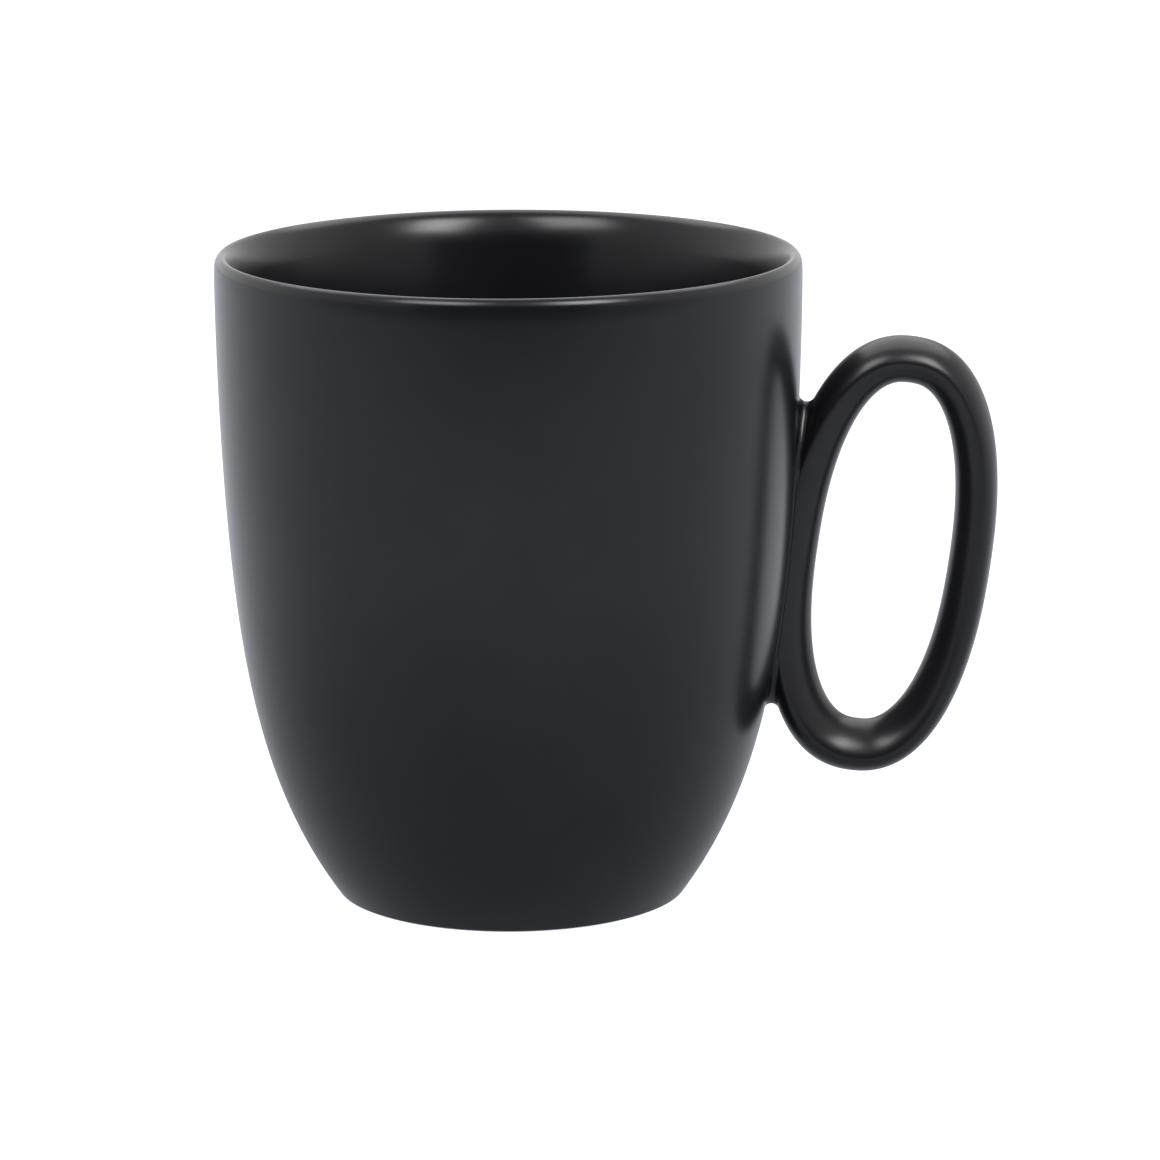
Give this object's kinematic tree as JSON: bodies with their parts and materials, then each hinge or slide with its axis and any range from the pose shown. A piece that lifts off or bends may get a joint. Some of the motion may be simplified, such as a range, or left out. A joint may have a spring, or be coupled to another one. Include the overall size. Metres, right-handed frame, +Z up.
{
  "type": "ceramic mug",
  "caption": "Ceramic mug with a rounded foot, a gently tapering black satin-glazed wall, and a closed oval ring handle luted to its side.",
  "frame": {"origin": "centre of the foot ring, in the plane that it stands on", "axes": "+Z up along the cup's axis; +X from the cup's axis through the middle of the handle"},
  "size_m": [0.1164, 0.087, 0.0972],
  "materials": {
    "black_glaze": "satin",
    "glazed_slip": "satin"
  },
  "bodies": {
    "root": {"cup_body": "black_glaze", "handle": "black_glaze", "handle_slip": "glazed_slip"}
  },
  "joints": []
}
